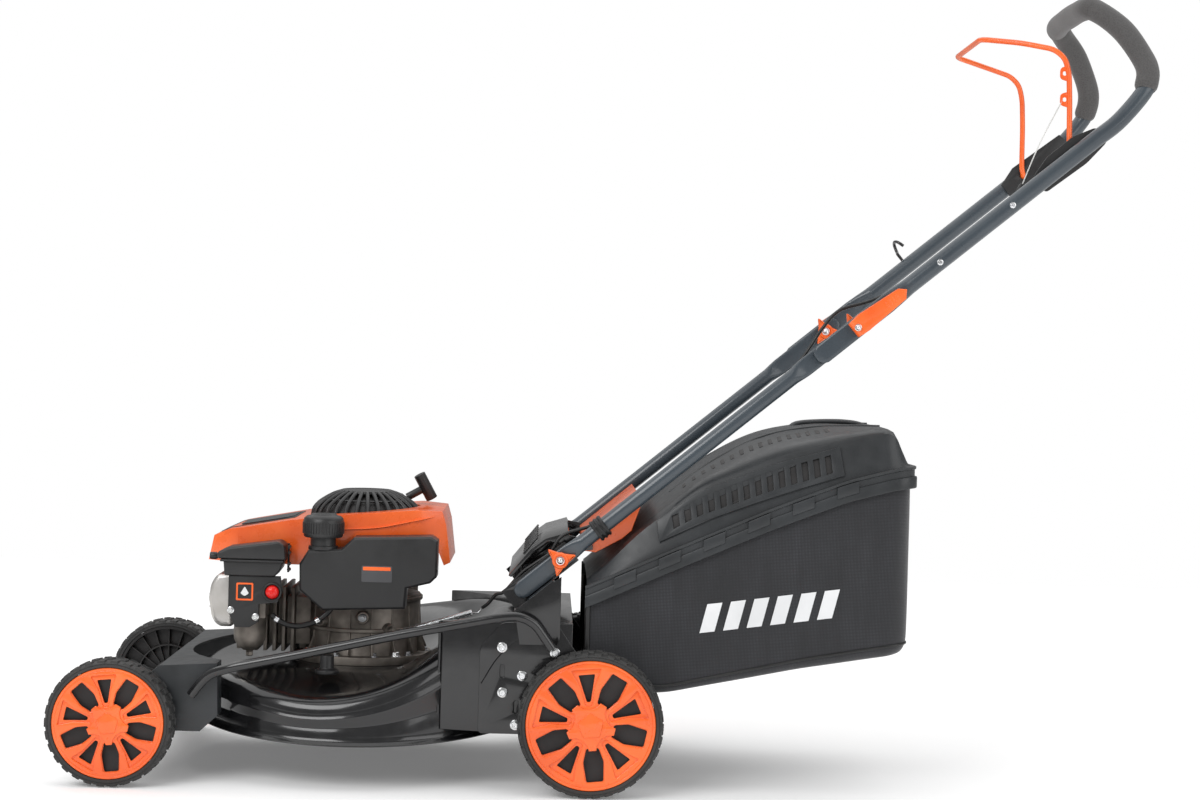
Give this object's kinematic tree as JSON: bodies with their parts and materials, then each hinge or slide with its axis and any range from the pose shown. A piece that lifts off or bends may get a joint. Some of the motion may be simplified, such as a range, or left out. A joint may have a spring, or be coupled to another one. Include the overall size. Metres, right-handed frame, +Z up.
{
  "type": "push lawn mower",
  "caption": "Walk-behind petrol lawn mower with a pressed steel deck, four wheels, folding tube handle with bail, recoil starter and rear grass bag.",
  "frame": {"origin": "on the ground, at the bottom centre of the bounding box", "axes": "+X from the front wheels towards the grass bag and handle, +Y towards the right side of the mower, +Z up"},
  "size_m": [1.529, 0.52, 1.1522],
  "materials": {
    "orange_plastic": "moulded, semi-gloss",
    "orange_paint": "gloss powder coat",
    "black_paint": "gloss powder coat",
    "tube_paint": "satin blue-grey powder coat",
    "black_plastic": "fine grain",
    "grey_plastic": "satin",
    "tyre_rubber": "matt",
    "grip_foam": "closed-cell foam",
    "cast_alloy": "as cast, dark",
    "bright_alloy": "brushed",
    "zinc": "bright zinc",
    "steel": "ground",
    "bag_cloth": "coarse woven mesh",
    "primer_red": "gloss",
    "cable_black": "satin"
  },
  "bodies": {
    "mower_base": {"deck_shell": "black_paint", "front_cover": "grey_plastic", "side_rail": "black_paint", "rear_baffle": "black_plastic", "wash_port": "black_plastic", "front_axle": "zinc", "rear_axle": "zinc", "handle_bracket_left": "black_paint", "handle_bracket_right": "black_paint", "flap_hinge": "black_paint", "engine_block": "cast_alloy", "blower_housing": "orange_plastic", "recoil_cover": "black_plastic", "air_filter_base": "black_plastic", "carburettor": "cast_alloy", "carburettor_cover": "black_plastic", "muffler": "bright_alloy", "fuel_tank": "black_plastic", "brake_spring": "zinc", "brake_cable_engine": "cable_black"},
    "crank_assembly": {"crankshaft": "steel", "flywheel": "cast_alloy", "blade": "steel"},
    "lower_handle": {"lower_tube_left": "tube_paint", "lower_tube_right": "tube_paint", "cable_clamp": "black_plastic", "brake_cable_lower": "cable_black"},
    "upper_handle_assembly": {"upper_handle": "tube_paint", "foam_grip": "grip_foam", "bail_bracket": "black_plastic", "rope_guide": "black_paint", "brake_cable_upper": "cable_black"},
    "bail_bar": {"bail": "orange_paint"},
    "starter_pull": {"starter_grip": "black_plastic"},
    "primer_button": {"primer_bulb": "primer_red"},
    "fuel_filler_cap": {"fuel_cap": "black_plastic"},
    "dipstick": {"oil_dipstick": "black_plastic"},
    "filter_lid": {"air_filter_cover": "black_plastic"},
    "discharge_flap": {"rear_flap": "orange_plastic"},
    "grass_bag": {"bag_hood": "grey_plastic", "bag_fabric": "bag_cloth"},
    "front_left_wheel": {"front_tyre_left": "tyre_rubber", "front_wheel_left": "black_plastic", "front_wheel_cover_left": "orange_plastic"},
    "front_right_wheel": {"front_tyre_right": "tyre_rubber", "front_wheel_right": "black_plastic", "front_wheel_cover_right": "orange_plastic"},
    "rear_left_wheel": {"rear_tyre_left": "tyre_rubber", "rear_wheel_left": "black_plastic", "rear_wheel_cover_left": "orange_plastic"},
    "rear_right_wheel": {"rear_tyre_right": "tyre_rubber", "rear_wheel_right": "black_plastic", "rear_wheel_cover_right": "orange_plastic"},
    "cam_lever_left_body": {"cam_lever_left": "orange_plastic"},
    "star_nut_left_body": {"star_nut_left": "orange_plastic"},
    "star_knob_left_body": {"star_knob_left": "orange_plastic"},
    "cam_lever_right_body": {"cam_lever_right": "orange_plastic"},
    "star_nut_right_body": {"star_nut_right": "orange_plastic"},
    "star_knob_right_body": {"star_knob_right": "orange_plastic"}
  },
  "joints": [
    {"name": "front_left_wheel_roll", "type": "hinge", "parent": "mower_base", "child": "front_left_wheel", "pos_m": [-0.67627, -0.235, 0.0882], "axis": [0, 1, 0], "continuous": true},
    {"name": "front_right_wheel_roll", "type": "hinge", "parent": "mower_base", "child": "front_right_wheel", "pos_m": [-0.67627, 0.235, 0.0882], "axis": [0, 1, 0], "continuous": true},
    {"name": "rear_left_wheel_roll", "type": "hinge", "parent": "mower_base", "child": "rear_left_wheel", "pos_m": [-0.01467, -0.235, 0.1015], "axis": [0, 1, 0], "continuous": true},
    {"name": "rear_right_wheel_roll", "type": "hinge", "parent": "mower_base", "child": "rear_right_wheel", "pos_m": [-0.01467, 0.235, 0.1015], "axis": [0, 1, 0], "continuous": true},
    {"name": "crank_spin", "type": "hinge", "parent": "mower_base", "child": "crank_assembly", "pos_m": [-0.35127, 0, 0.2], "axis": [0, 0, 1], "continuous": true},
    {"name": "lower_handle_fold", "type": "hinge", "parent": "mower_base", "child": "lower_handle", "pos_m": [-0.11327, 0, 0.28], "axis": [0, -1, 0], "range_deg": [0, 94]},
    {"name": "upper_handle_fold", "type": "hinge", "parent": "lower_handle", "child": "upper_handle_assembly", "pos_m": [0.34463, 0, 0.66151], "axis": [0, 1, 0], "range_deg": [-130, 0]},
    {"name": "bail_squeeze", "type": "hinge", "parent": "upper_handle_assembly", "child": "bail_bar", "pos_m": [0.64733, 0, 0.91371], "axis": [0, 1, 0], "range_deg": [0, 36], "stiffness_Nm_per_rad": 0.8, "springref_deg": -17.19},
    {"name": "cam_lever_left_open", "type": "hinge", "parent": "upper_handle_assembly", "child": "cam_lever_left_body", "pos_m": [0.34463, -0.1957, 0.66151], "axis": [0.6401, 0, -0.7683], "range_deg": [0, 90]},
    {"name": "star_nut_left_turn", "type": "hinge", "parent": "lower_handle", "child": "star_nut_left_body", "pos_m": [0.34463, -0.163, 0.66151], "axis": [0, 1, 0], "continuous": true},
    {"name": "star_knob_left_turn", "type": "hinge", "parent": "lower_handle", "child": "star_knob_left_body", "pos_m": [-0.06256, -0.184, 0.32225], "axis": [0, 1, 0], "continuous": true},
    {"name": "cam_lever_right_open", "type": "hinge", "parent": "upper_handle_assembly", "child": "cam_lever_right_body", "pos_m": [0.34463, 0.1957, 0.66151], "axis": [-0.6401, 0, 0.7683], "range_deg": [0, 90]},
    {"name": "star_nut_right_turn", "type": "hinge", "parent": "lower_handle", "child": "star_nut_right_body", "pos_m": [0.34463, 0.163, 0.66151], "axis": [0, 1, 0], "continuous": true},
    {"name": "star_knob_right_turn", "type": "hinge", "parent": "lower_handle", "child": "star_knob_right_body", "pos_m": [-0.06256, 0.184, 0.32225], "axis": [0, 1, 0], "continuous": true},
    {"name": "starter_pull_slide", "type": "slide", "parent": "mower_base", "child": "starter_pull", "axis": [0.8622, 0.132, 0.4891], "range_m": [0, 0.6], "stiffness_N_per_m": 15, "springref_m": -0.2},
    {"name": "primer_press", "type": "slide", "parent": "mower_base", "child": "primer_button", "axis": [0, 1, 0], "range_m": [0, 0.005], "stiffness_N_per_m": 600},
    {"name": "fuel_cap_turn", "type": "hinge", "parent": "mower_base", "child": "fuel_filler_cap", "pos_m": [-0.39927, -0.148, 0.36], "axis": [0, 0, 1], "range_deg": [0, 270]},
    {"name": "dipstick_turn", "type": "hinge", "parent": "mower_base", "child": "dipstick", "pos_m": [-0.29127, 0.084, 0.262], "axis": [0, 0, 1], "range_deg": [0, 90]},
    {"name": "filter_lid_open", "type": "hinge", "parent": "mower_base", "child": "filter_lid", "pos_m": [-0.54527, -0.146, 0.3105], "axis": [0, -1, 0], "range_deg": [0, 70]},
    {"name": "discharge_flap_open", "type": "hinge", "parent": "mower_base", "child": "discharge_flap", "pos_m": [-0.02427, 0, 0.342], "axis": [0, -1, 0], "range_deg": [0, 70], "stiffness_Nm_per_rad": 0.6, "springref_deg": -17.19},
    {"name": "grass_bag_lift_off", "type": "slide", "parent": "mower_base", "child": "grass_bag", "axis": [1, 0, 0], "range_m": [0, 0.4]}
  ]
}
